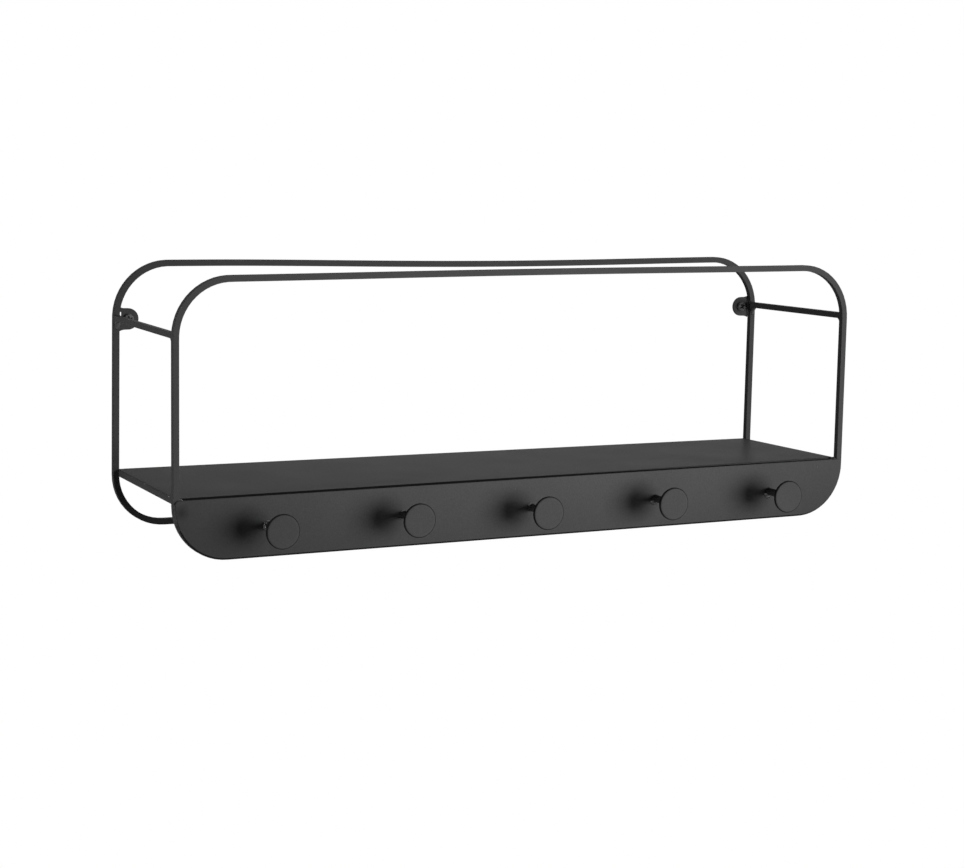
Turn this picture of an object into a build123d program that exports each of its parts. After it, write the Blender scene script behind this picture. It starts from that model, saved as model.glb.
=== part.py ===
"""Wall shelf with coat hooks: two bent bar loops, a sheet shelf, a front panel and five disc hooks.

Millimetres. X runs along the wall, Y points into the wall and Z points up. The origin lies on
the wall plane, halfway between the two wall screws.
"""
import os

from build123d import *

# Bent bar frame
bar = 6.0
bar_edge = 0.5
frame_width = 800.0
frame_height = 282.0
frame_depth = 194.0
corner_radius = 60.0
upper_bar_rise = 2.0

# Sheet shelf on the lower side bars
shelf_height = 62.0
shelf_sheet = 1.5
shelf_bend = 0.5
shelf_lip = 7.5
shelf_lip_clearance = 0.5
shelf_wall_gap = 1.5
shelf_front_gap = 7.0

# Front panel that carries the hooks
panel_sheet = 2.0
panel_inset = 1.5
panel_top_radius = 3.5

# Wall tabs and their screws
screw_inset = 11.0
tab_height = 22.5
tab_sheet = 2.0
tab_bar_gap = 1.2
tab_hole = 5.5
screw_neck = 5.2
screw_shank = 5.0
screw_length = 42.0
screw_point = 7.0
screw_head = 11.0
screw_head_height = 3.2
screw_head_side = 1.4
screw_head_flat = 6.0

# Hooks
hook_count = 5
hook_margin = 100.0
hook_reach = 40.0
stem_diameter = 8.0
disc_diameter = 35.0
disc_thickness = 3.0
disc_edge = 0.8

# Weld beads
upper_weld_drop = 10.0
upper_weld_run = 8.0
lower_weld_leg = 2.5
hook_weld_leg = 2.0
hook_weld_start = 35.0
hook_weld_sweep = 165.0
tab_weld_leg = 2.5
tab_weld_length = 16.0

# Places worked out from the sizes above
base = corner_radius - frame_height
half_width = frame_width / 2
inner_half = half_width - bar
rear_face = -bar
front_back = -(frame_depth - bar)
front_face = -frame_depth
panel_front = front_face - panel_sheet
shelf_top = base + shelf_height
shelf_under = shelf_top - shelf_sheet
shelf_rear = -shelf_wall_gap
shelf_front = front_face + shelf_front_gap
panel_top = shelf_top
hook_z = (base + panel_top) / 2
hook_pitch = (frame_width - 2 * hook_margin) / (hook_count - 1)
disc_back = panel_front - hook_reach + disc_thickness
screw_x = inner_half - screw_inset
tab_edge = inner_half - tab_bar_gap
frame_middle_z = base + frame_height / 2


def upright_sketch(shape, y):
    """Place a flat outline, drawn in X and Z, on the plane at depth y, ready to extrude towards -Y."""
    return Plane(origin=(0, y, 0), x_dir=(1, 0, 0), z_dir=(0, -1, 0)) * shape


def block(x_from, x_to, y_from, y_to, z_from, z_to):
    """A plain block between two corners."""
    middle = ((x_from + x_to) / 2, (y_from + y_to) / 2, (z_from + z_to) / 2)
    return Pos(*middle) * Box(abs(x_to - x_from), abs(y_to - y_from), abs(z_to - z_from))


def frame_outline(inset):
    """The loops' outer outline, moved inwards by an inset."""
    width = frame_width - 2 * inset
    height = frame_height - 2 * inset
    return Pos(0, frame_middle_z) * RectangleRounded(width, height, corner_radius - inset)


def frame_loop(y_rear):
    """A closed loop of square bar with round corners and slightly eased edges."""
    ring = frame_outline(0) - frame_outline(bar)
    loop = extrude(upright_sketch(ring, y_rear), bar)
    flat_edges = loop.edges().filter_by(lambda edge: abs(edge.bounding_box().size.Y) < bar / 2)
    return chamfer(flat_edges, bar_edge)


def square_bar(x_middle, z_middle, y_rear, y_front):
    """A straight piece of the same bar, running from the wall side to the front."""
    profile = Plane(origin=(x_middle, y_rear, z_middle), x_dir=(1, 0, 0), z_dir=(0, -1, 0))
    return extrude(profile * RectangleRounded(bar, bar, bar_edge), y_rear - y_front)


def mirrored_pair(right_piece):
    """The right piece and its twin at the left end."""
    return {"left": mirror(right_piece, about=Plane.YZ), "right": right_piece}


parts = {}

# Two bent loops, one against the wall and one at the front
rear_loop = frame_loop(0)
front_loop = frame_loop(front_back)
parts["rear_frame_loop"] = rear_loop
parts["front_frame_loop"] = front_loop

# Side bars: the upper pair stands between the loops, the lower pair lies inside the uprights
upper_bar = square_bar(half_width - bar / 2, upper_bar_rise, rear_face, front_back)
lower_bar_z = shelf_under - bar / 2
lower_bar = square_bar(inner_half - bar / 2, lower_bar_z, 0, front_face) - rear_loop - front_loop
for side, piece in mirrored_pair(upper_bar).items():
    parts[side + "_upper_side_bar"] = piece
for side, piece in mirrored_pair(lower_bar).items():
    parts[side + "_lower_side_bar"] = piece

# Shelf: one sheet whose long edges fold down, cut back at the corners to lie on the side bars
outer_bend = shelf_bend + shelf_sheet
shelf_depth = shelf_rear - shelf_front
shelf_middle_y = (shelf_rear + shelf_front) / 2
fold_half = inner_half - bar - shelf_lip_clearance


def channel_profile(depth, z_top, radius):
    """A section with rounded upper corners and straight sides down to the lips' lower edge."""
    drop = shelf_lip - (shelf_top - z_top)
    outline = Pos(0, -drop / 2) * Rectangle(depth, drop)
    return fillet(outline.vertices().sort_by(Axis.Y)[-2:], radius)


channel = channel_profile(shelf_depth, shelf_top, outer_bend)
hollow_depth = shelf_depth - 2 * shelf_sheet
channel -= Pos(0, -shelf_sheet) * channel_profile(hollow_depth, shelf_under, shelf_bend)
section = Plane(origin=(-fold_half, shelf_middle_y, shelf_top), x_dir=(0, 1, 0), z_dir=(1, 0, 0))
shelf = extrude(section * channel, 2 * fold_half)
shelf += block(-inner_half, inner_half, shelf_rear - outer_bend, shelf_front + outer_bend,
               shelf_under, shelf_top)
parts["shelf_tray"] = shelf - rear_loop

# Front panel: follows the loop's outline, with its upper corners rounded
panel_core = frame_outline(panel_inset + panel_top_radius)
core_top = panel_top - panel_top_radius
panel_core -= Pos(0, core_top + frame_height / 2) * Rectangle(frame_width, frame_height)
panel_outline = offset(panel_core, amount=panel_top_radius, kind=Kind.ARC)
parts["front_panel"] = extrude(upright_sketch(panel_outline, front_face), panel_sheet)

# Wall tabs: rounded plates just inside the rear uprights, with a hole for the screw
tab_reach = tab_edge - screw_x
tab_outline = Pos(tab_edge, 0) * SlotCenterToCenter(2 * tab_reach, tab_height)
tab_outline -= Pos(tab_edge + tab_height, 0) * Rectangle(2 * tab_height, 2 * tab_height)
tab_outline -= Pos(screw_x, 0) * Circle(tab_hole / 2)
right_tab = extrude(upright_sketch(tab_outline, 0), tab_sheet) - rear_loop
for side, piece in mirrored_pair(right_tab).items():
    parts[side + "_wall_tab"] = piece

# Wall screws: pan heads seated on the tabs, plain shanks and points standing into the wall
head_top = -tab_sheet - screw_head_height
head_side = -tab_sheet - screw_head_side
point_start = screw_length - tab_sheet - screw_point
screw_tip = screw_length - tab_sheet
half_profile = Polyline(
    (0, head_top),
    (0, screw_tip),
    (screw_shank / 2, point_start),
    (screw_shank / 2, 0),
    (screw_neck / 2, 0),
    (screw_neck / 2, -tab_sheet),
    (screw_head / 2, -tab_sheet),
    (screw_head / 2, head_side),
    (screw_head_flat / 2, head_top),
    close=True,
)
screw = revolve(make_face(half_profile.edges()), Axis.Y)
for side, x in (("left", -screw_x), ("right", screw_x)):
    parts[side + "_wall_screw"] = Pos(x, 0, 0) * screw

# Hooks: a round stem standing out of the panel, with a flat stamped disc on its end, eased in front
stem_outline = Circle(stem_diameter / 2)
disc_outline = Circle(disc_diameter / 2)
stem = extrude(upright_sketch(stem_outline, panel_front), panel_front - disc_back)
disc = extrude(upright_sketch(disc_outline, disc_back), disc_thickness)
disc = chamfer(disc.edges().filter_by(GeomType.CIRCLE).sort_by(Axis.Y)[:1], disc_edge)
hook_places = [(number - (hook_count - 1) / 2) * hook_pitch for number in range(hook_count)]
for number, x in enumerate(hook_places, start=1):
    parts[f"hook_stem_{number}"] = Pos(x, 0, hook_z) * stem
    parts[f"hook_disc_{number}"] = Pos(x, 0, hook_z) * disc


def concave_bead(corner, first_leg, second_leg):
    """A weld's hollow section in a corner, given by its two legs along the first and second axis."""
    along = (corner[0] + first_leg, corner[1])
    across = (corner[0], corner[1] + second_leg)
    sag = min(abs(first_leg), abs(second_leg)) / 6
    if first_leg * second_leg < 0:
        sag = -sag
    hollow = SagittaArc(along, across, sag)
    return make_face(Polyline(across, corner, along).edges() + hollow.edges())


# Welds under both ends of the upper side bars
weld_plane = Plane(origin=(half_width - bar + bar_edge, 0, 0), x_dir=(0, 1, 0), z_dir=(1, 0, 0))
weld_width = bar - 2 * bar_edge
under_bar = upper_bar_rise - bar / 2
rear_weld = weld_plane * concave_bead((rear_face, under_bar), -upper_weld_run, -upper_weld_drop)
front_weld = weld_plane * concave_bead((front_back, under_bar), upper_weld_run, -upper_weld_drop)
right_welds = extrude(rear_weld, weld_width) + extrude(front_weld, weld_width)
parts["upper_bar_welds"] = Compound(
    [solid for piece in mirrored_pair(right_welds).values() for solid in piece.solids()]
)

# Welds that hold the lower side bars to the uprights
lower_plane = Plane(origin=(0, 0, lower_bar_z - bar / 2 + bar_edge))
rear_weld = lower_plane * concave_bead((inner_half, rear_face), lower_weld_leg, -lower_weld_leg)
front_weld = lower_plane * concave_bead((inner_half, front_back), lower_weld_leg, lower_weld_leg)
right_welds = extrude(rear_weld, weld_width) + extrude(front_weld, weld_width)
parts["lower_bar_welds"] = Compound(
    [solid for piece in mirrored_pair(right_welds).values() for solid in piece.solids()]
)

# Welds that run round the lower left side of each hook stem
bead = concave_bead((stem_diameter / 2, panel_front), hook_weld_leg, -hook_weld_leg)
ring = Rot(0, hook_weld_start, 0) * revolve(bead, Axis.Y, hook_weld_sweep)
parts["hook_welds"] = Compound([Pos(x, 0, hook_z) * ring for x in hook_places])

# Welds that fill the slit beside each wall tab
weld_z = -tab_height / 2
slit = block(tab_edge, inner_half, 0, -tab_sheet, weld_z, weld_z + tab_weld_length)
corner_plane = Plane(origin=(0, 0, weld_z))
fillet_bead = corner_plane * concave_bead((inner_half, -tab_sheet), -tab_weld_leg, -tab_weld_leg)
tab_weld = slit + extrude(fillet_bead, tab_weld_length) - rear_loop
parts["tab_welds"] = Compound(
    [solid for piece in mirrored_pair(tab_weld).values() for solid in piece.solids()]
)

os.makedirs("parts", exist_ok=True)
for name, piece in parts.items():
    export_step(piece, f"parts/{name}.step")
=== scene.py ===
import math

import bmesh
import bpy
from mathutils import Matrix, Vector, noise


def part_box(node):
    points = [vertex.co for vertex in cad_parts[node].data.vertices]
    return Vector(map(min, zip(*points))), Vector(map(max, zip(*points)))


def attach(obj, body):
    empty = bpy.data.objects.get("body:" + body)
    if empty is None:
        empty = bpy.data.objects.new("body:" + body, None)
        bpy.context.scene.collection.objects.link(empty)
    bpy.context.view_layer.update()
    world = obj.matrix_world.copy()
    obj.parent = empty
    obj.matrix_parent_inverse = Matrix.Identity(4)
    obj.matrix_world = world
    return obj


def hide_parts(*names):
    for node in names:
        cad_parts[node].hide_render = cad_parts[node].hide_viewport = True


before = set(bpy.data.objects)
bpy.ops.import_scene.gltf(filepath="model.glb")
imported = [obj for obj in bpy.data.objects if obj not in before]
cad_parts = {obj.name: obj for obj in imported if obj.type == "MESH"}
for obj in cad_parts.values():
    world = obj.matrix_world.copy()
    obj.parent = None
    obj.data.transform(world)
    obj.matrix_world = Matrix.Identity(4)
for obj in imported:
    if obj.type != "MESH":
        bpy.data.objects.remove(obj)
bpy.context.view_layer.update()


# Bent bar loops. Two closed loops of square steel bar with their corners bent cold round a former
# and the joint ground flush, powder coated satin black. One lies on the wall, the other stands
# in front of it and carries the panel.
class Socket:
    """One output in a node tree. Its operators add Math nodes, so a finish reads as a formula."""

    def __init__(self, tree, output=None):
        self.tree = tree
        self.output = output

    def node(self, kind, settings=None, sockets=None, out=0):
        """Add a node of this kind, set it up, then give its sockets their values or links."""
        made = self.tree.nodes.new(kind)
        for name, value in (settings or {}).items():
            if name == "stops":
                for element, (place, shade) in zip(made.color_ramp.elements, value):
                    element.position = place
                    element.color = (shade, shade, shade, 1)
            else:
                setattr(made, name, value)
        for name, value in (sockets or {}).items():
            self.feed(made.inputs[name], value)
        return Socket(self.tree, made.outputs[out])

    def feed(self, socket, value):
        """Give a socket its link, or each link of a list, or else the plain value."""
        for given in value if isinstance(value, list) else [value]:
            if isinstance(given, Socket):
                self.tree.links.new(given.output, socket)
            else:
                socket.default_value = given

    def math(self, operation, first, second):
        """Add one Math node."""
        return self.node("ShaderNodeMath", {"operation": operation}, {0: first, 1: second})

    def axis(self, letter):
        """One of the three lengths of a place."""
        return self.node("ShaderNodeSeparateXYZ", {}, {"Vector": self}, letter)

    def grain(self, scale, detail):
        """Noise over a place, with about so many lumps to the metre."""
        return self.node("ShaderNodeTexNoise", {}, {"Vector": self, "Scale": scale, "Detail": detail})

    def between(self, first, second):
        """The colour that lies this share of the way from the first colour to the second."""
        return self.node("ShaderNodeMix", {"data_type": "RGBA"}, {0: self, 6: first, 7: second}, 2)

    def scaled(self, share):
        """A colour or a vector times a number."""
        return self.node("ShaderNodeVectorMath", {"operation": "SCALE"}, {0: self, "Scale": share})

    def __add__(self, other):
        return self.math("ADD", self, other)

    def __radd__(self, other):
        return self.math("ADD", other, self)

    def __sub__(self, other):
        return self.math("SUBTRACT", self, other)

    def __rsub__(self, other):
        return self.math("SUBTRACT", other, self)

    def __mul__(self, other):
        return self.math("MULTIPLY", self, other)

    def __rmul__(self, other):
        return self.math("MULTIPLY", other, self)

    def __truediv__(self, other):
        return self.math("DIVIDE", self, other)

    def __rtruediv__(self, other):
        return self.math("DIVIDE", other, self)

    def __lt__(self, other):
        return self.math("LESS_THAN", self, other)

    def __gt__(self, other):
        return self.math("GREATER_THAN", self, other)


def new_finish(name):
    """A new material with its shader and the place of each point on the piece."""
    finish = bpy.data.materials.new(name)
    finish.use_nodes = True
    place = Socket(finish.node_tree).node("ShaderNodeTexCoord", out="Object")
    return finish, finish.node_tree.nodes["Principled BSDF"], place


def powder_coat(
    name, black, peel_depth, wave_depth, roughness=0.42, gloss=0.0045, thin=None, ends=0.0, foot=0.0,
):
    """Satin black powder coat: cloudy film, orange peel, a few pale nibs of dust in the paint.

    Where the given mask says so, the film is painted nearly black: painted shade in the slot behind
    the panel and on the loop below it, and a darker disc rim. It is painted darker to both ends, a
    painted falloff of the light, and lower down, painted shade.
    """

    def tone(level, blue_level):
        return black * level, black * level, black * blue_level, 1

    paint, shader, place = new_finish(name)
    cloud = place.grain(14.0, 4.0)
    peel = place.grain(850.0, 2.0)
    grit = place.grain(2600.0, 1.0)
    wave = place.grain(11.0, 1.0)
    nib_cells = {"Vector": place, "Scale": nibs_per_metre}
    nib_reach = place.node("ShaderNodeTexVoronoi", {}, nib_cells, "Distance")
    nib_tint = place.node("ShaderNodeTexVoronoi", {}, nib_cells, "Color")
    nib_draw = place.node("ShaderNodeSeparateColor", {}, {"Color": nib_tint}, "Red")
    nib = (nib_reach < nib_radius) * (nib_draw > nib_rarity)
    shade = 0.4 * cloud + 0.3 * grit + 0.9 * peel - 0.28
    film = shade.between(tone(0.8, 0.82), tone(1.25, 1.27))
    # Painted falloff of the light to both ends, and painted shade below the shelf's level
    aside = (place.axis("X") - falloff_middle) / falloff_reach
    below = place.math("MAXIMUM", (foot_top - place.axis("Z")) / foot_reach, 0.0)
    painted_falloff = (1 - ends * (aside * aside - falloff_even)) * (1 - foot * below)
    coat = (nib * nib_strength).between(film.scaled(painted_falloff), nib_colour)
    # Where the given mask says so, the film is painted nearly black: mostly painted shade
    if thin:
        coat = thin(place).between(coat, tone(0.2, 0.21))
    waves = place.node("ShaderNodeBump", {}, {"Height": wave, "Distance": wave_depth})
    skin = place.node("ShaderNodeBump", {}, {
        "Height": peel + 0.35 * grit + 0.8 * nib, "Distance": peel_depth, "Normal": waves,
    })
    place.feed(shader.inputs["Base Color"], coat)
    place.feed(shader.inputs["Roughness"], roughness + 0.12 * (cloud - 0.5))
    place.feed(shader.inputs["Normal"], skin)
    shader.inputs["Specular IOR Level"].default_value = gloss
    return paint


def painted_shade_below_panel(place):
    """Painted shade on the front loop's face under the panel's lower edge, darker further down."""
    height = place.axis("Z")
    share = (step_shade_from - height) / step_shade_reach
    return (place.axis("Y") < step_face) * (height < step_top) * share


def started_tree(name, inputs):
    """Begin a tree with these named inputs. Gives the tree's start and a socket for each input."""
    tree = bpy.data.node_groups.new(name, "GeometryNodeTree")
    for label, kind in inputs.items():
        tree.interface.new_socket(label, in_out="INPUT", socket_type=f"NodeSocket{kind}")
    given = tree.nodes.new("NodeGroupInput")
    return (Socket(tree), *(Socket(tree, given.outputs[label]) for label in inputs))


def ended_tree(shape, paint):
    """End a tree: make every copy real, paint the whole and hand it out."""
    whole = shape.node("GeometryNodeRealizeInstances", {}, {"Geometry": shape})
    painted = shape.node("GeometryNodeSetMaterial", {}, {"Geometry": whole, "Material": paint})
    shape.tree.interface.new_socket("Whole", in_out="OUTPUT", socket_type="NodeSocketGeometry")
    shape.feed(shape.tree.nodes.new("NodeGroupOutput").inputs["Whole"], painted)
    return shape.tree


def bent_bar_tree():
    """A square bar with eased edges along a path, bent to one radius at the path's corners."""
    start, path, bar, edge, bend, tighter, bow, middle, reach, paint = started_tree("bent_bar", {
        "Path": "Geometry",
        "Bar": "Float",
        "Edge": "Float",
        "Bend": "Float",
        "Tighter Below": "Float",
        "Bow": "Float",
        "Bow Middle": "Float",
        "Bow Reach": "Float",
        "Paint": "Material",
    })
    spot = start.node("GeometryNodeInputPosition")
    height = spot.axis("Z")
    line = start.node("GeometryNodeMeshToCurve", {}, {"Mesh": path})
    bent = start.node("GeometryNodeFilletCurve", {"mode": "POLY"}, {
        "Curve": line, "Radius": bend - tighter * (height < 0), "Count": bend_steps,
    })
    square = start.node("GeometryNodeCurvePrimitiveQuadrilateral", {}, {"Width": bar, "Height": bar})
    section = start.node("GeometryNodeFilletCurve", {"mode": "POLY"}, {
        "Curve": square, "Radius": edge, "Count": edge_steps,
    })
    fine = start.node("GeometryNodeResampleCurve", {"mode": "LENGTH"}, {"Curve": bent, "Length": bar})
    swept = start.node("GeometryNodeCurveToMesh", {}, {
        "Curve": fine, "Profile Curve": section, "Fill Caps": True,
    })
    off = (spot.axis("X") - middle) / reach
    share = start.math("MAXIMUM", 1 - off * off, 0.0)
    dip = start.node("ShaderNodeCombineXYZ", {}, {"Z": -1 * bow * share * share * (height > 0)})
    bowed = start.node("GeometryNodeSetPosition", {}, {"Geometry": swept, "Offset": dip})
    smooth = start.node("GeometryNodeSetShadeSmooth", {}, {"Geometry": bowed})
    return ended_tree(smooth, paint)


def path_mesh(name, points, closed):
    """A line of edges for a tree to follow."""
    ends = range(len(points) if closed else len(points) - 1)
    mesh = bpy.data.meshes.new(name)
    mesh.from_pydata(points, [(k, (k + 1) % len(points)) for k in ends], [])
    return mesh


def placed(name, mesh):
    """Put a mesh in the scene under a piece's name."""
    piece = bpy.data.objects.new(name, mesh)
    bpy.context.scene.collection.objects.link(piece)
    return piece


def grown(piece, tree, sizes):
    """Run a tree on a piece with these named inputs."""
    grow = piece.modifiers.new(tree.name, "NODES")
    grow.node_group = tree
    for item in tree.interface.items_tree:
        if item.in_out == "INPUT" and item.name in sizes:
            grow[item.identifier] = sizes[item.name]


def wrung(form):
    """Twist a finished form about the depth axis by the little that welding has drawn the frame."""
    for corner in form.vertices:
        depth = min(max(corner.co.y, twist_front), 0.0)
        turn = twist_per_metre * (depth - twist_front / 2)
        x, z = corner.co.x, corner.co.z - twist_height
        corner.co.x = x * math.cos(turn) + z * math.sin(turn)
        corner.co.z = z * math.cos(turn) - x * math.sin(turn) + twist_height


def settled(piece, slot, *nodes):
    """Keep a piece's finished form as a plain mesh and fix it to the part."""
    flat = piece.modifiers.new("flat_faces", "WEIGHTED_NORMAL")
    flat.keep_sharp = True
    seen = piece.evaluated_get(bpy.context.evaluated_depsgraph_get())
    form = bpy.data.meshes.new_from_object(seen)
    piece.modifiers.clear()
    piece.data = form
    form.name = piece.name
    wrung(form)
    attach(piece, "root")
    if nodes:
        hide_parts(*nodes)


nibs_per_metre = 95.0
nib_radius = 0.045
nib_rarity = 0.7
nib_strength = 0.7
nib_colour = (0.16, 0.16, 0.155, 1)
# Painted falloff of the light: the coats are painted darker away from this middle, and painted shade
# below this top
falloff_middle = 0.07
falloff_reach = 0.44
falloff_even = 0.2
foot_top = -0.163
foot_reach = 0.058
# Painted shade on the front loop's face below the panel
step_face = -0.1934
step_top = -0.1865
step_shade_from = -0.155
step_shade_reach = 0.066
# The frame's coat carries painted shade below the panel and a painted falloff to both ends
frame_paint = powder_coat(
    "frame_powder_coat", black=0.067, peel_depth=0.00006, wave_depth=0.0001, thin=painted_shade_below_panel,
    ends=0.2,
)
# Painted shade: the rear loop's coat is set darker than the front loop's, and painted darker still below
# the shelf
shaded_rear_paint = powder_coat(
    "shaded_rear_powder_coat", black=0.054, peel_depth=0.00006, wave_depth=0.0001, ends=0.2, foot=0.4,
)
twist_per_metre = 0.042
twist_front = -0.196
twist_height = -0.080
loop_bend = 0.060
bend_steps = 22
tighter_below = 0.0040
bar_edge = 0.0004
edge_steps = 3
paint_film = 0.00025
bow_reach = 0.34
# How far the top rail dips and where, how far the lower bends sag, how much too narrow the loop is,
# and how far its lower right bend stands out
bent_by_hand = {
    "rear_frame_loop": {
        "bow": 0.0032, "middle": 0.045, "sag": (0.0, 0.0), "pinch": 0.0, "splay": 0.0014,
    },
    "front_frame_loop": {
        "bow": -0.0010, "middle": 0.0, "sag": (0.0007, 0.0014), "pinch": 0.0008, "splay": 0.0,
    },
}
bent_bar = bent_bar_tree()
for node, errors in bent_by_hand.items():
    low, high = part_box(node)
    bar = high.y - low.y
    half = bar / 2
    middle = (low.y + high.y) / 2
    left, right = low.x + half, high.x - half - errors["pinch"]
    left_sag, right_sag = errors["sag"]
    corners = [
        (left, middle, low.z + half - left_sag),
        (right + errors["splay"], middle, low.z + half - right_sag),
        (right, middle, high.z - half),
        (left, middle, high.z - half),
    ]
    loop = placed(node.replace("frame_loop", "bent_bar"), path_mesh(node, corners, True))
    grown(loop, bent_bar, {
        "Bar": bar + 2 * paint_film,
        "Edge": bar_edge,
        "Bend": loop_bend - half,
        "Tighter Below": tighter_below,
        "Bow": errors["bow"],
        "Bow Middle": errors["middle"],
        "Bow Reach": bow_reach,
        "Paint": shaded_rear_paint if node == "rear_frame_loop" else frame_paint,
    })
    settled(loop, "frame_paint", node)


# Side bars. Four straight lengths of the same square bar, sawn square and welded between the
# loops: two just below the upper bends and two lower down, which carry the shelf's ends. The
# upper ones are set by eye, so the left one drops a little towards the wall.
sides = {"left": -1, "right": 1}
# Rise of the front end, rise of the wall end, and thickness over that of the other bars
set_by_eye = {"left_upper": (0.0, -0.0022, -0.0005), "right_upper": (0.0004, 0.0004, 0.0)}
for side in sides:
    for level in ("upper", "lower"):
        node = f"{side}_{level}_side_bar"
        low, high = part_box(node)
        front_rise, wall_rise, extra = set_by_eye.get(f"{side}_{level}", (0.0, 0.0, 0.0))
        x, z = (low.x + high.x) / 2, (low.z + high.z) / 2
        ends = [(x, low.y, z + front_rise), (x, high.y, z + wall_rise)]
        tie = placed(f"{side}_{level}_tie", path_mesh(node, ends, False))
        grown(tie, bent_bar, {
            "Bar": high.x - low.x + 2 * paint_film + extra,
            "Edge": bar_edge,
            "Bow Reach": bow_reach,
            "Paint": frame_paint,
        })
        settled(tie, "frame_paint", node)


# Shelf. One sheet of thin steel laid on the lower side bars, with its wall edge and its front edge
# folded down into short stiffening lips that stop clear of the bars.
def eased(piece, edge, sharp_from=40, steps=2):
    """Round a piece's sharp edges off, as shot blasting and paint do."""
    rounding = piece.modifiers.new("eased_edges", "BEVEL")
    rounding.width = edge
    rounding.segments = steps
    rounding.limit_method = "ANGLE"
    rounding.angle_limit = math.radians(sharp_from)


def coated(piece, paint):
    """Give a piece its paint and smooth shading."""
    piece.data.materials.append(paint)
    piece.data.polygons.foreach_set("use_smooth", [True] * len(piece.data.polygons))
    return piece


def meshed(name, shape):
    """Keep a built shape as a mesh."""
    mesh = bpy.data.meshes.new(name)
    shape.to_mesh(mesh)
    shape.free()
    return mesh


def arc(centre_x, centre_z, radius, first, last, steps):
    """Points along an arc, from one angle to another in degrees."""
    angles = [math.radians(first + (last - first) * k / steps) for k in range(steps + 1)]
    return [(centre_x + radius * math.cos(a), centre_z + radius * math.sin(a)) for a in angles]


def shelf_mesh(low, high, lip_reach, fold, fold_steps):
    """The sheet's upper skin: a flat top with two folded lips that are shorter than the top."""
    outline = [(low.y, low.z)]
    outline += arc(low.y + fold, high.z - fold, fold, 180, 90, fold_steps)
    outline += arc(high.y - fold, high.z - fold, fold, 90, 0, fold_steps)
    outline += [(high.y, low.z)]
    top = 1 + fold_steps
    skin = bmesh.new()
    grid = {}
    for column, x in enumerate((low.x, -lip_reach, lip_reach, high.x)):
        for row, (y, z) in enumerate(outline):
            if column in (1, 2) or row in (top, top + 1):
                grid[column, row] = skin.verts.new((x, y, z))
    for column in range(3):
        for row in range(len(outline) - 1):
            if column == 1 or row == top:
                skin.faces.new([
                    grid[column, row],
                    grid[column + 1, row],
                    grid[column + 1, row + 1],
                    grid[column, row + 1],
                ])
    return meshed("shelf_skin", skin)


def painted_shade_in_slot(place):
    """Painted shade where the shelf's front fold dives into the narrow slot behind the panel, and a
    spot.
    The spot is painted darker, on the panel beside the weld at its upper left corner.
    """
    depth = place.axis("Y")
    slot = (depth < slot_rear) * (depth > slot_front) * (place.axis("Z") < slot_top)
    away = place.node("ShaderNodeVectorMath", {"operation": "DISTANCE"}, {
        0: place, 1: dark_spot,
    }, "Value")
    dark_spot_share = place.math("MAXIMUM", 1 - away / dark_spot_reach, 0.0)
    return place.math("MAXIMUM", slot, dark_spot_strength * dark_spot_share)


# Painted shade in the slot behind the panel, and a soft spot painted darker on the panel
slot_rear, slot_front, slot_top = -0.1845, -0.1900, -0.1602
dark_spot = (-0.3920, -0.1960, -0.1740)
dark_spot_reach = 0.0095
dark_spot_strength = 0.62
# The sheets are painted darker to both ends and towards the panel's lower edge: painted falloff of the
# light
sheet_paint = powder_coat(
    "sheet_powder_coat", black=0.072, peel_depth=0.00005, wave_depth=0.0012, thin=painted_shade_in_slot,
    ends=0.38, foot=0.19,
)
shelf_sheet = 0.0015
shelf_fold = 0.002
shelf_fold_steps = 6
lip_clearance = 0.0005
cut_edge = 0.0003
low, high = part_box("shelf_tray")
lip_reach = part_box("right_lower_side_bar")[0].x - lip_clearance
shelf = placed("shelf_sheet", shelf_mesh(low, high, lip_reach, shelf_fold, shelf_fold_steps))
coated(shelf, sheet_paint)
thickness = shelf.modifiers.new("sheet", "SOLIDIFY")
thickness.thickness = shelf_sheet
thickness.offset = -1
thickness.use_even_offset = True
eased(shelf, cut_edge)
settled(shelf, "sheet_paint", "shelf_tray")


# Front panel. A flat steel plate, laser cut to follow the loop's lower corners a little inside
# them, and welded to the face of the front loop. Its two upper corners are rounded off.
def plate_mesh(name, outlines, y_back, thickness):
    """A plate of these (x, z) outlines, which run the same way round and may share some edges."""
    plate = bmesh.new()
    back, front = {}, {}
    for layer, y in ((back, y_back), (front, y_back - thickness)):
        for outline in outlines:
            for x, z in outline:
                layer[x, z] = layer.get((x, z)) or plate.verts.new((x, y, z))
            plate.faces.new([layer[place] for place in outline])
    edges = [edge for outline in outlines for edge in zip(outline, outline[1:] + outline[:1])]
    for a, b in edges:
        if (b, a) not in edges:
            plate.faces.new((back[a], back[b], front[b], front[a]))
    bmesh.ops.recalc_face_normals(plate, faces=plate.faces)
    return meshed(name, plate)


def as_bent(x, z):
    """Where a point of the true outline ends up on the front loop as it was bent by hand."""
    errors = bent_by_hand["front_frame_loop"]
    left_sag, right_sag = errors["sag"]
    share = (x - loop_low.x) / (loop_high.x - loop_low.x)
    return x - errors["pinch"] * share, z - left_sag - (right_sag - left_sag) * share + panel_lift


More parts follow.
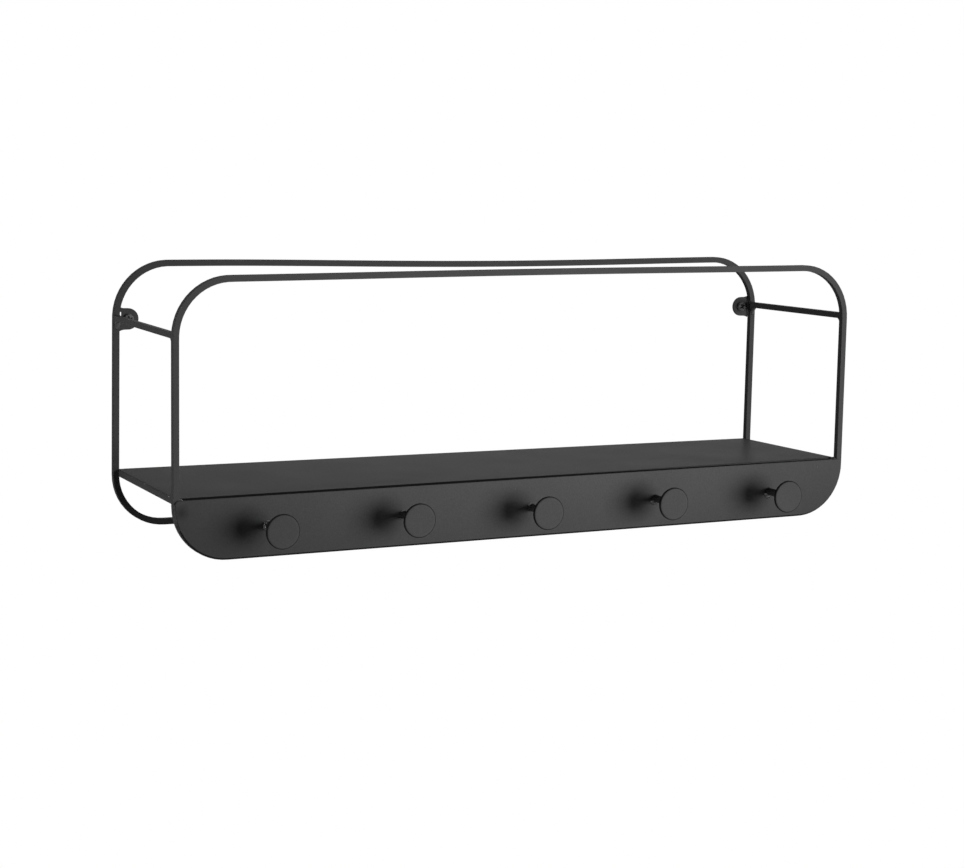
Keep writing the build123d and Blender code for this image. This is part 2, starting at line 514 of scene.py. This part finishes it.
low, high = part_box("front_panel")
loop_low, loop_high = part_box("front_frame_loop")
panel_lift = 0.0003
panel_edge = 0.0004
panel_corner = 0.0035
panel_back = high.y
lower_bend = loop_bend - tighter_below
panel_bend = lower_bend - (low.z - loop_low.z)
bend_x = loop_high.x - lower_bend
bend_z = loop_low.z + lower_bend
rise = high.z - panel_corner - bend_z
corner_x = bend_x + math.sqrt((panel_bend - panel_corner) ** 2 - rise ** 2)
corner_turn = math.degrees(math.asin(rise / (panel_bend - panel_corner)))
right_half = arc(bend_x, bend_z, panel_bend, -90, corner_turn, steps=40)
right_half += arc(corner_x, high.z - panel_corner, panel_corner, corner_turn, 90, steps=8)[1:]
left_half = [(-x, z) for x, z in reversed(right_half)]
panel_outline = [as_bent(x, z) for x, z in right_half + left_half]
panel = placed("front_plate", plate_mesh("front_plate", [panel_outline], panel_back, panel_back - low.y))
coated(panel, sheet_paint)
eased(panel, panel_edge)
settled(panel, "sheet_paint", "front_panel")


# Wall tabs. Two small laser-cut steel tabs welded inside the rear loop's uprights, just below the
# upper bends, each with one hole for a screw, round at the end that points inwards. The left one
# has a nick in its welded edge that the weld leaves open.
tab_hole = 0.00275
notch_depth = 0.0024
notch_slope = 0.0006
notch_low, notch_high = 0.0006, 0.0078
flare, flare_run, flare_steps = 0.0016, 0.0070, 4
tab_rise = {"left": -0.0016, "right": 0.0004}
# Painted shade: the tabs' coat is set darker than the frame's, as they sit back against the wall
shaded_tab_paint = powder_coat("tab_powder_coat", black=0.048, peel_depth=0.00005, wave_depth=0.0004)
for side, sign in sides.items():
    node = f"{side}_wall_tab"
    low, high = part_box(node)
    screw_low, screw_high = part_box(f"{side}_wall_screw")
    screw_x = abs(screw_low.x + screw_high.x) / 2
    radius = high.z
    flank = max(abs(low.x), abs(high.x))
    shares = [k / flare_steps for k in range(1, flare_steps + 1)]
    flared = [(flank - flare_run * (1 - share), radius + flare * share ** 2) for share in shares]
    lower_flare = [(x, -z) for x, z in flared]
    notch = [
        (flank, notch_low),
        (flank - notch_depth, notch_low + notch_slope),
        (flank - notch_depth, notch_high - notch_slope),
        (flank, notch_high),
    ]
    round_end = arc(screw_x, 0, radius, 90, 270, steps=28)
    flank_end = round_end[-1:] + lower_flare + (notch if side == "left" else [])
    flank_end += flared[::-1] + round_end[:1]
    round_end += arc(screw_x, 0, tab_hole, 270, 90, steps=12)
    flank_end += arc(screw_x, 0, tab_hole, 90, -90, steps=12)
    halves = [[(sign * x, z + tab_rise[side]) for x, z in half] for half in (round_end, flank_end)]
    tab = placed(f"{side}_screw_tab", plate_mesh(node, halves, high.y, high.y - low.y))
    coated(tab, shaded_tab_paint)
    eased(tab, cut_edge)
    settled(tab, "sheet_paint", node)


# Wall screws. Two pan-head wood screws of blackened steel with a cross recess, driven through the
# tabs into the wall, so their heads stand on the tabs and the threads lie behind them.
def turned_mesh(name, outline, steps):
    """A solid turned about the Y axis from (radius, y) points, closed at its poles."""
    solid = bmesh.new()
    rings = []
    for radius, y in outline:
        angles = [math.tau * k / steps for k in range(steps)] if radius else [0.0]
        rings.append([solid.verts.new((radius * math.cos(a), y, radius * math.sin(a))) for a in angles])
    for near, far in zip(rings, rings[1:]):
        for k in range(steps):
            after = k + 1
            loop = [near[k % len(near)], near[after % len(near)]]
            loop += [far[after % len(far)], far[k % len(far)]]
            solid.faces.new(list(dict.fromkeys(loop)))
    bmesh.ops.recalc_face_normals(solid, faces=solid.faces)
    return meshed(name, solid)


def recess_mesh(span, slot, depth, turn, y_face, mouth=1.3, tip=0.6):
    """The cutter for a cross recess: a plus-shaped punch that narrows with depth."""
    arm, flank = span / 2, slot / 2
    plus = []
    for k in range(4):
        quarter = Matrix.Rotation(math.pi / 2 * k + turn, 2)
        plus += [quarter @ Vector(point) for point in ((arm, -flank), (arm, flank), (flank, flank))]
    cutter = bmesh.new()
    front, back = (
        [cutter.verts.new((p.x * share, y, p.y * share)) for p in plus]
        for y, share in ((y_face - depth, mouth), (y_face + depth, tip))
    )
    cutter.faces.new(front)
    cutter.faces.new(reversed(back))
    for k in range(len(plus)):
        after = (k + 1) % len(plus)
        cutter.faces.new((front[after], front[k], back[k], back[after]))
    bmesh.ops.recalc_face_normals(cutter, faces=cutter.faces)
    return meshed("cross_recess", cutter)


def black_oxide(name):
    """Blackened steel: dark grey, worn paler in patches, with fine dents from the driver."""
    steel, shader, place = new_finish(name)
    wear = place.grain(700.0, 5.0)
    patch = place.node("ShaderNodeValToRGB", {"stops": ((0.42, 0.0), (0.75, 1.0))}, {"Fac": wear})
    dents = place.node("ShaderNodeBump", {}, {"Height": wear, "Distance": dent_depth})
    place.feed(shader.inputs["Base Color"], patch.between(oxide_colour, worn_colour))
    place.feed(shader.inputs["Roughness"], 0.50 - 0.14 * wear)
    place.feed(shader.inputs["Normal"], dents)
    shader.inputs["Specular IOR Level"].default_value = 0.05
    return steel


def screw_thread_tree():
    """Add a helical thread to a screw blank: full round the shank, fading out at the point."""
    start, blank, core, crest, turns, length, point_turns, point_run, tip, steel = started_tree(
        "screw_thread", {
            "Blank": "Geometry",
            "Core": "Float",
            "Crest": "Float",
            "Turns": "Float",
            "Length": "Float",
            "Point Turns": "Float",
            "Point Length": "Float",
            "Tip": "Float",
            "Steel": "Material",
        },
    )
    ridge = start.node("GeometryNodeCurvePrimitiveCircle", {}, {
        "Resolution": ridge_sides, "Radius": crest,
    })
    along_shank = start.node("GeometryNodeCurveSpiral", {}, {
        "Resolution": thread_steps, "Rotations": turns, "Start Radius": core, "End Radius": core,
        "Height": length,
    })
    round_point = start.node("GeometryNodeCurveSpiral", {}, {
        "Resolution": thread_steps, "Rotations": point_turns, "Start Radius": core, "End Radius": tip,
        "Height": point_run,
    })
    lift = start.node("ShaderNodeCombineXYZ", {}, {"Z": length})
    at_point = start.node("GeometryNodeTransform", {}, {"Geometry": round_point, "Translation": lift})
    helix = start.node("GeometryNodeJoinGeometry", {}, {"Geometry": [along_shank, at_point]})
    upright = start.node("GeometryNodeSetCurveNormal", {"mode": "Z_UP"}, {"Curve": helix})
    thread = start.node("GeometryNodeCurveToMesh", {}, {
        "Curve": upright, "Profile Curve": ridge, "Fill Caps": True,
    })
    laid = start.node("GeometryNodeTransform", {}, {
        "Geometry": thread, "Rotation": (-math.pi / 2, 0, 0),
    })
    joined = start.node("GeometryNodeJoinGeometry", {}, {"Geometry": [blank, laid]})
    return ended_tree(joined, steel)


def row_tree():
    """Copies of one piece in a straight row, each turned about its own axis by a random angle."""
    start, one, count, first, step, turn, seed, paint = started_tree("row_of_copies", {
        "One": "Geometry",
        "Count": "Int",
        "First": "Vector",
        "Step": "Vector",
        "Turn": "Float",
        "Seed": "Int",
        "Paint": "Material",
    })
    places = start.node("GeometryNodeMeshLine", {}, {
        "Count": count, "Start Location": first, "Offset": step,
    })
    draw = start.node("FunctionNodeRandomValue", {"data_type": "FLOAT"}, {
        2: -1 * turn, 3: turn, "Seed": seed,
    }, 1)
    spin = start.node("ShaderNodeCombineXYZ", {}, {"Y": draw})
    copies = start.node("GeometryNodeInstanceOnPoints", {}, {
        "Points": places, "Instance": one, "Rotation": spin,
    })
    return ended_tree(copies, paint)


oxide_colour = (0.050, 0.050, 0.051, 1)
worn_colour = (0.180, 0.178, 0.175, 1)
dent_depth = 0.00005
screw_steel = black_oxide("blackened_screw_steel")
thread_core = 0.0018
thread_crest = 0.0007
thread_turns = 15.0
thread_tip = 0.0002
thread_steps, ridge_sides = 20, 4
point_length = 0.007
point_turns = 3.0
point_threaded = 0.9
neck_radius = 0.0026
neck_taper = 0.0008
head_edge = 0.0003
dome_steps = 12
dome_crown, dome_shoulder = 0.16, 0.26
recess_span, recess_slot, recess_depth, recess_turn = 0.0072, 0.0019, 0.0024, 0.35
driven_turn = 0.2
row_of_copies = row_tree()
low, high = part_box("right_wall_screw")
tab_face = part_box("right_wall_tab")[0].y
screw_x = (low.x + high.x) / 2
head_radius = (high.x - low.x) / 2
head_height = tab_face - low.y
shank_end = high.y - point_length
blank = [(0.0, low.y)]
for k in range(1, dome_steps + 1):
    share = k / dome_steps
    drop = dome_crown * share ** 2 + dome_shoulder * share ** 12
    blank.append((head_radius * share, low.y + head_height * drop))
blank += [
    (head_radius, tab_face - head_edge),
    (head_radius - head_edge, tab_face),
    (neck_radius, tab_face),
    (neck_radius, 0.0),
    (thread_core, neck_taper),
    (thread_core, shank_end),
    (0.0, high.y),
]
screw = placed("wall_screws", turned_mesh("wall_screws", blank, steps=48))
cutter = placed("cross_recess", recess_mesh(recess_span, recess_slot, recess_depth, recess_turn, low.y))
cut = screw.modifiers.new("cross_recess", "BOOLEAN")
cut.operation = "DIFFERENCE"
cut.solver = "EXACT"
cut.object = cutter
grown(screw, screw_thread_tree(), {
    "Core": thread_core,
    "Crest": thread_crest,
    "Turns": thread_turns,
    "Length": shank_end,
    "Point Turns": point_turns,
    "Point Length": point_length * point_threaded,
    "Tip": thread_tip,
    "Steel": screw_steel,
})
grown(screw, row_of_copies, {
    "Count": 2,
    "First": (-screw_x, 0, tab_rise["left"]),
    "Step": (2 * screw_x, 0, tab_rise["right"] - tab_rise["left"]),
    "Turn": driven_turn,
    "Seed": 4,
    "Paint": screw_steel,
})
settled(screw, "screw_black", "left_wall_screw", "right_wall_screw")
bpy.data.objects.remove(cutter)


# Hook pegs. Five plain round steel pegs welded square to the panel in an even row, as near as the
# eye could set them. The paint has pooled where each one meets the panel and its disc.
def hung(piece, seed, paint, node):
    """Repeat one hook's piece along the row, then move each copy off its mark as it was welded."""
    grown(piece, row_of_copies, {
        "Count": len(hook_stray),
        "First": (first_hook.x, 0, first_hook.z),
        "Step": (hook_pitch, 0, 0),
        "Turn": math.pi,
        "Seed": seed,
        "Paint": paint,
    })
    settled(piece, "hook_paint", *[f"{node}_{k + 1}" for k in range(len(hook_stray))])
    for corner in piece.data.vertices:
        across, rise = hook_stray[round((corner.co.x - first_hook.x) / hook_pitch)]
        corner.co.x += across
        corner.co.z += rise


# Painted shade: the pegs' coat is set darker than the discs', as they stand in the discs' shadow
shaded_peg_paint = powder_coat("shaded_peg_powder_coat", black=0.044, peel_depth=0.00004, wave_depth=0.0002)
hook_stray = [
    (-0.0005, 0.0004), (-0.0014, 0.0016), (-0.0021, -0.0005), (0.0014, -0.0003), (-0.0003, -0.0015),
]
pool = 0.0006
peg_rings = 6
peg_low, peg_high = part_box("hook_stem_1")
first_hook = (peg_low + peg_high) / 2
hook_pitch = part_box("hook_stem_2")[0].x - peg_low.x
peg_radius = (peg_high.x - peg_low.x) / 2
peg_outline = [(0.0, peg_low.y)]
peg_outline += arc(peg_radius + pool, peg_low.y + pool, pool, 270, 180, steps=5)
for k in range(1, peg_rings):
    peg_outline.append((peg_radius, peg_low.y + (peg_high.y - peg_low.y) * k / peg_rings))
peg_outline += arc(peg_radius + pool, peg_high.y - pool, pool, 180, 90, steps=5)
peg_outline += [(0.0, peg_high.y)]
pegs = placed("hook_pegs", turned_mesh("hook_pegs", peg_outline, steps=40))
coated(pegs, shaded_peg_paint)
hung(pegs, 2, shaded_peg_paint, "hook_stem")


# Hook discs. A flat round steel disc on the end of each peg keeps a coat from sliding off. They are
# stamped, so their faces roll softly down to lightly rounded rims, which are painted darker.
def dark_disc_rim(place):
    """Where the disc's rolled rim is painted darker."""
    return place.node("ShaderNodeAttribute", {"attribute_name": "thin_rim"}, {}, "Fac")


def mark_dark_rim(mesh, dark_rim_from, dark_rim_to):
    """Keep in a turned mesh how much darker its rim is painted, from one radius to the next."""
    rim = mesh.attributes.new("thin_rim", "FLOAT", "POINT")
    for corner in mesh.vertices:
        share = (math.hypot(corner.co.x, corner.co.z) - dark_rim_from) / (dark_rim_to - dark_rim_from)
        rim.data[corner.index].value = min(max(share, 0.0), 1.0)


# Painted falloff of the light: the discs are painted darker towards both ends of the row
hook_paint = powder_coat(
    "hook_powder_coat", black=0.066, peel_depth=0.00004, wave_depth=0.0002, thin=dark_disc_rim, ends=0.3,
)
roll_reach = 0.0033
roll_drop = 0.0005
roll_steps = 6
rim = 0.0009
rim_start = 20
rim_share = 0.66
back_rim = 0.0003
dark_rim_from, dark_rim_to = 0.0013, 0.0006
disc_low, disc_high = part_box("hook_disc_1")
disc_radius = (disc_high.x - disc_low.x) / 2 + paint_film
roll_from, roll_to = disc_radius - roll_reach, disc_radius - rim_share * rim
rim_centre = disc_low.y + roll_drop + rim * math.cos(math.radians(rim_start))
disc_outline = [(0.0, disc_low.y), (disc_radius / 2, disc_low.y)]
for k in range(roll_steps + 1):
    share = k / roll_steps
    disc_outline.append((roll_from + (roll_to - roll_from) * share, disc_low.y + roll_drop * share ** 2))
disc_outline += arc(disc_radius - rim, rim_centre, rim, rim_start - 90, 0, steps=7)[1:]
disc_outline += arc(disc_radius - back_rim, disc_high.y - back_rim, back_rim, 0, 90, steps=3)
disc_outline += [(disc_radius / 2, disc_high.y), (0.0, disc_high.y)]
discs = placed("hook_discs", turned_mesh("hook_discs", disc_outline, steps=96))
mark_dark_rim(discs.data, disc_radius - dark_rim_from, disc_radius - dark_rim_to)
coated(discs, hook_paint)
hung(discs, 3, hook_paint, "hook_disc")


# Welds. Short hand-laid fillets of weld steel that hold the side bars, the tabs, the pegs and the
# panel, left as laid under the paint, so they are lumpy and a little glossier than the flat steel.
def fillet_weld(beads, stations, hollow, lump):
    """Lay one closed fillet through stations: a corner of the seam and the bead's two legs there."""
    rings = []
    for k, (corner, one, two) in enumerate(stations):
        along = min(max(k / (len(stations) - 1), bead_tip), 1 - bead_tip)
        taper = bead_end + (1 - bead_end) * math.sin(math.pi * along) ** bead_fullness
        ring = [corner]
        for j in range(bead_points):
            share = j / (bead_points - 1)
            grow = taper * (1 + lump * noise.noise((corner + one * share) * lumps_per_metre))
            ring.append(corner + one * (grow * (1 - share) ** hollow) + two * (grow * share ** hollow))
        rings.append([beads.verts.new(point) for point in ring])
    for near, far in zip(rings, rings[1:]):
        for j in range(len(near)):
            after = (j + 1) % len(near)
            beads.faces.new((near[j], near[after], far[after], far[j]))
    beads.faces.new(rings[0])
    beads.faces.new(reversed(rings[-1]))


def straight_seam(start, run, one, two, steps):
    """Stations along a straight seam, with the same legs all the way."""
    return [(start + run * (k / steps), one, two) for k in range(steps + 1)]


def laid_welds(name, beads, paint, *nodes):
    """Turn the laid beads into one piece."""
    bmesh.ops.recalc_face_normals(beads, faces=beads.faces)
    settled(coated(placed(name, meshed(name, beads)), paint), "weld_paint", *nodes)


bead_points = 7
bead_tip = 0.02
bead_end = 0.55
bead_fullness = 0.35
lumps_per_metre = 420
weld_paint = powder_coat(
    "weld_powder_coat", black=0.066, peel_depth=0.00010, wave_depth=0.0004, roughness=0.34, gloss=0.06,
)
bead_paint = powder_coat(
    "bead_powder_coat", black=0.050, peel_depth=0.00012, wave_depth=0.0004, roughness=0.17, gloss=0.55,
)
weld_inset = 0.0005
upper_drop = 0.0100
upper_run = 0.0080
lower_leg = 0.0028
tab_leg = 0.0028
longer_right = 0.005
peg_sunk = 0.0001
peg_steps = 36
peg_weld_beads = [
    (165, 170, 0.0027), (60, 150, 0.0017), (75, 150, 0.0018), (255, 110, 0.0042), (250, 100, 0.0034),
]
side_leg = 0.0016
side_weld_foot = -0.190

under_low, under_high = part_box("right_upper_side_bar")
beads = bmesh.new()
for side, sign in sides.items():
    front_rise, wall_rise, extra = set_by_eye[f"{side}_upper"]
    for away, y, rise in ((-1, under_high.y, wall_rise), (1, under_low.y, front_rise)):
        start = Vector((sign * (under_low.x + weld_inset), y, under_low.z + rise - extra / 2))
        width = Vector((sign * (under_high.x - under_low.x - 2 * weld_inset), 0, 0))
        legs = Vector((0, away * upper_run, 0)), Vector((0, 0, -upper_drop))
        fillet_weld(beads, straight_seam(start, width, *legs, steps=12), hollow=1.35, lump=0.06)
laid_welds("upper_tie_welds", beads, weld_paint, "upper_bar_welds")

tie_low, tie_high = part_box("right_lower_side_bar")
rail_low, rail_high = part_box("rear_frame_loop")
rail = rail_high.y - rail_low.y
beads = bmesh.new()
for sign in sides.values():
    for away, y in ((-1, -rail), (1, loop_high.y)):
        start = Vector((sign * tie_low.x, y, tie_low.z + weld_inset))
        height = Vector((0, 0, tie_high.z - tie_low.z - 2 * weld_inset))
        legs = Vector((0, away * lower_leg, 0)), Vector((-sign * lower_leg, 0, 0))
        fillet_weld(beads, straight_seam(start, height, *legs, steps=12), hollow=1.6, lump=0.3)
laid_welds("lower_tie_welds", beads, weld_paint, "lower_bar_welds")

tab_weld_low, tab_weld_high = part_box("tab_welds")
beads = bmesh.new()
for side, sign in sides.items():
    start = Vector((sign * (rail_high.x - rail), tab_face, tab_weld_low.z + tab_rise[side]))
    longer = longer_right if side == "right" else 0.0
    height = Vector((0, 0, tab_weld_high.z - tab_weld_low.z + longer))
    legs = Vector((-sign * tab_leg, 0, 0)), Vector((0, -tab_leg, 0))
    fillet_weld(beads, straight_seam(start, height, *legs, steps=30), hollow=1.6, lump=0.35)
laid_welds("tab_fillets", beads, weld_paint, "tab_welds")

beads = bmesh.new()
for k, (middle, sweep, leg) in enumerate(peg_weld_beads):
    across, rise = hook_stray[k]
    base = Vector((first_hook.x + hook_pitch * k + across, peg_high.y, first_hook.z + rise))
    round_peg = []
    for x, z in arc(0, 0, 1, middle - sweep / 2, middle + sweep / 2, peg_steps):
        outward = Vector((x, 0, z))
        round_peg.append((base + outward * (peg_radius - peg_sunk), outward * leg, Vector((0, -leg, 0))))
    fillet_weld(beads, round_peg, hollow=1.25, lump=0.55)
laid_welds("peg_welds", beads, bead_paint, "hook_welds")

side_from = math.degrees(math.asin((side_weld_foot - bend_z) / panel_bend))
beads = bmesh.new()
for sign in sides.values():
    legs = Vector((sign * side_leg, 0, 0)), Vector((0, -side_leg, 0))
    beside_panel = []
    for x, z in arc(bend_x, bend_z, panel_bend, side_from, corner_turn, steps=24):
        x, z = as_bent(sign * x, z)
        beside_panel.append((Vector((x, panel_back, z)), *legs))
    fillet_weld(beads, beside_panel, hollow=1.15, lump=0.4)
laid_welds("panel_side_welds", beads, weld_paint)


# Tack welds. Small blobs of weld steel along the seams that hold the shelf sheet down on the lower
# side bars and the panel's back to the front loop, laid by hand and painted over with the rest.
def tack_tree():
    """One small lumpy blob on every point, stretched along its seam and no two alike."""
    start, places, blob, lump, seed, paint = started_tree("tack_welds", {
        "Places": "Geometry",
        "Blob": "Vector",
        "Lump": "Float",
        "Seed": "Int",
        "Paint": "Material",
    })
    ball = start.node("GeometryNodeMeshIcoSphere", {}, {"Radius": 0.5, "Subdivisions": 4})
    stretch = start.node("FunctionNodeRandomValue", {"data_type": "FLOAT"}, {
        2: least_tack, 3: most_tack, "Seed": seed,
    }, 1)
    copies = start.node("GeometryNodeInstanceOnPoints", {}, {
        "Points": places, "Instance": ball, "Scale": blob.scaled(stretch),
    })
    whole = start.node("GeometryNodeRealizeInstances", {}, {"Geometry": copies})
    ripple = start.node("GeometryNodeInputPosition").grain(450.0, 2.0)
    push = start.node("GeometryNodeInputNormal").scaled((ripple - 0.5) * lump)
    lumpy = start.node("GeometryNodeSetPosition", {}, {"Geometry": whole, "Offset": push})
    smooth = start.node("GeometryNodeSetShadeSmooth", {}, {"Geometry": lumpy})
    return ended_tree(smooth, paint)


def tacked(name, places, blob, lump, seed, paint):
    """Tack welds at these places, as one piece."""
    mesh = bpy.data.meshes.new(name)
    mesh.from_pydata(places, [], [])
    tacks = placed(name, mesh)
    grown(tacks, tack_welds, {"Blob": blob, "Lump": lump, "Seed": seed, "Paint": paint})
    settled(tacks, "weld_paint")


least_tack, most_tack = 0.8, 1.2
tack_welds = tack_tree()
tack_sunk = 0.0002
shelf_blob = (0.0010, 0.0036, 0.0012)
shelf_tack_depths = (-0.164, -0.089, -0.048, -0.014)
corner_blob = (0.0048, 0.0062, 0.0040)
corner_in, corner_behind = 0.0022, 0.0042
panel_blob = (0.0090, 0.0034, 0.0034)
panel_tack_places = (-0.28, -0.14, 0.0, 0.14, 0.28)
rail_top = loop_low.z + (loop_high.y - loop_low.y)
shelf_places = [
    (sign * (tie_high.x - tack_sunk), y, tie_high.z)
    for sign in sides.values()
    for y in shelf_tack_depths
]
corner_places = [
    (sign * (tie_high.x - corner_in), panel_back + corner_behind, tie_high.z) for sign in sides.values()
]
panel_places = [(x, panel_back + tack_sunk, rail_top) for x in panel_tack_places]
tacked("shelf_tacks", shelf_places, shelf_blob, lump=0.0004, seed=7, paint=bead_paint)
tacked("corner_tacks", corner_places, corner_blob, lump=0.0010, seed=5, paint=weld_paint)
tacked("panel_tacks", panel_places, panel_blob, lump=0.0010, seed=11, paint=weld_paint)


# Room. A floor far below the shelf that looks pale to the eye, and a wall that only the eye sees, in
# white air. The air itself gives the object hardly any light, but shows white in its gloss.
def is_ray(start, kind):
    """Whether the light path is of this kind."""
    return start.node("ShaderNodeLightPath", out=f"Is {kind} Ray")


def white_to_eye(base, share):
    """Mix this share of plain white into a base shader, and use it as the surface."""
    glow = base.node("ShaderNodeEmission", {}, {"Color": (1, 1, 1, 1), "Strength": 1.0})
    shown = base.node("ShaderNodeMixShader", {}, {0: share, 1: base, 2: glow})
    base.feed(base.tree.nodes["Material Output"].inputs["Surface"], shown)


def room_sheet(name, corners, finish):
    """One flat sheet of the room."""
    mesh = bpy.data.meshes.new(name)
    mesh.from_pydata(corners, [], [(0, 1, 2, 3)])
    sheet = placed(name, mesh)
    sheet.data.materials.append(finish)


room_level = 0.012
studio = bpy.data.worlds.new("studio")
bpy.context.scene.world = studio
studio.use_nodes = True
air = studio.node_tree.nodes["Background"]
air.inputs["Color"].default_value = (1, 1, 1, 1)
start = Socket(studio.node_tree)
seen = start.math("MAXIMUM", is_ray(start, "Camera"), is_ray(start, "Glossy"))
seen = start.math("MAXIMUM", seen, is_ray(start, "Transmission"))
start.feed(air.inputs["Strength"], room_level + (1 - room_level) * seen)

floor_drop = 1.35
floor_left, floor_right, floor_front, floor_rear = -1.8, 1.8, -2.0, 0.9
floor_white = 0.85
pale, shader, place = new_finish("pale_floor")
shader.inputs["Base Color"].default_value = (0.86, 0.86, 0.85, 1)
shader.inputs["Roughness"].default_value = 0.7
white_to_eye(Socket(pale.node_tree, shader.outputs["BSDF"]), floor_white * is_ray(place, "Camera"))
room_sheet("floor", [
    (floor_left, floor_front, -floor_drop),
    (floor_right, floor_front, -floor_drop),
    (floor_right, floor_rear, -floor_drop),
    (floor_left, floor_rear, -floor_drop),
], pale)

wall_gap = 0.0006
wall_half, wall_low, wall_high = 1.6, -1.2, 1.0
white, shader, place = new_finish("white_wall")
behind = place.node("ShaderNodeNewGeometry", out="Backfacing")
white_to_eye(place.node("ShaderNodeBsdfTransparent"), is_ray(place, "Camera") * (1 - behind))
white.node_tree.nodes.remove(shader)
room_sheet("wall", [
    (-wall_half, wall_gap, wall_low),
    (wall_half, wall_gap, wall_low),
    (wall_half, wall_gap, wall_high),
    (-wall_half, wall_gap, wall_high),
], white)


# Lamps. Soft studio light from one large softbox far off to the right, with weak fills from the left
# and from above behind. The last one is kept out of the shelf's gloss.
def softbox(name, place, target, width, height, watts):
    """A soft rectangular lamp aimed at a point."""
    lamp = bpy.data.lights.new(name, "AREA")
    lamp.shape = "RECTANGLE"
    lamp.size, lamp.size_y = width, height
    lamp.energy = watts
    stand = bpy.data.objects.new(name, lamp)
    aim = (Vector(target) - Vector(place)).to_track_quat("-Z", "Y")
    stand.matrix_world = Matrix.LocRotScale(Vector(place), aim, None)
    bpy.context.scene.collection.objects.link(stand)
    return stand


softbox("key_softbox", (3.6, -5.2, 0.08), (0.0, -0.2, -0.19), width=4.0, height=2.8, watts=470.0)
softbox("left_softbox", (-1.6, -0.12, 0.1), (0.0, -0.1, -0.06), width=0.3, height=0.4, watts=7.4)
fill = softbox("back_softbox", (0.6, 1.9, 0.95), (0.1, -0.15, -0.16), width=1.2, height=0.4, watts=24.0)
fill.visible_glossy = False


# Camera. It stands at the photograph's place, turned, dipped and rolled as the photograph was taken,
# with the focal length given in the photograph's pixels.
view_place = Vector((-1.1223, -2.2652, 0.2156))
view_turn = math.radians(27.1234)
view_dip = math.radians(7.9764)
view_roll = math.radians(1.2234)
focal_pixels = 2248.2
image_width = 964
ahead = Vector((
    math.sin(view_turn) * math.cos(view_dip),
    math.cos(view_turn) * math.cos(view_dip),
    -math.sin(view_dip),
))
level_right = Vector((math.cos(view_turn), -math.sin(view_turn), 0))
level_up = level_right.cross(ahead)
right = level_right * math.cos(view_roll) + level_up * math.sin(view_roll)
up = level_up * math.cos(view_roll) - level_right * math.sin(view_roll)
lens = bpy.data.cameras.new("camera")
lens.sensor_fit = "HORIZONTAL"
lens.sensor_width = 36.0
lens.lens = focal_pixels / image_width * lens.sensor_width
camera = bpy.data.objects.new("camera", lens)
bpy.context.scene.collection.objects.link(camera)
turned_to = Matrix((right, up, -ahead)).transposed().to_4x4()
camera.matrix_world = Matrix.Translation(view_place) @ turned_to
bpy.context.scene.camera = camera
bpy.context.scene.view_settings.view_transform = "Standard"
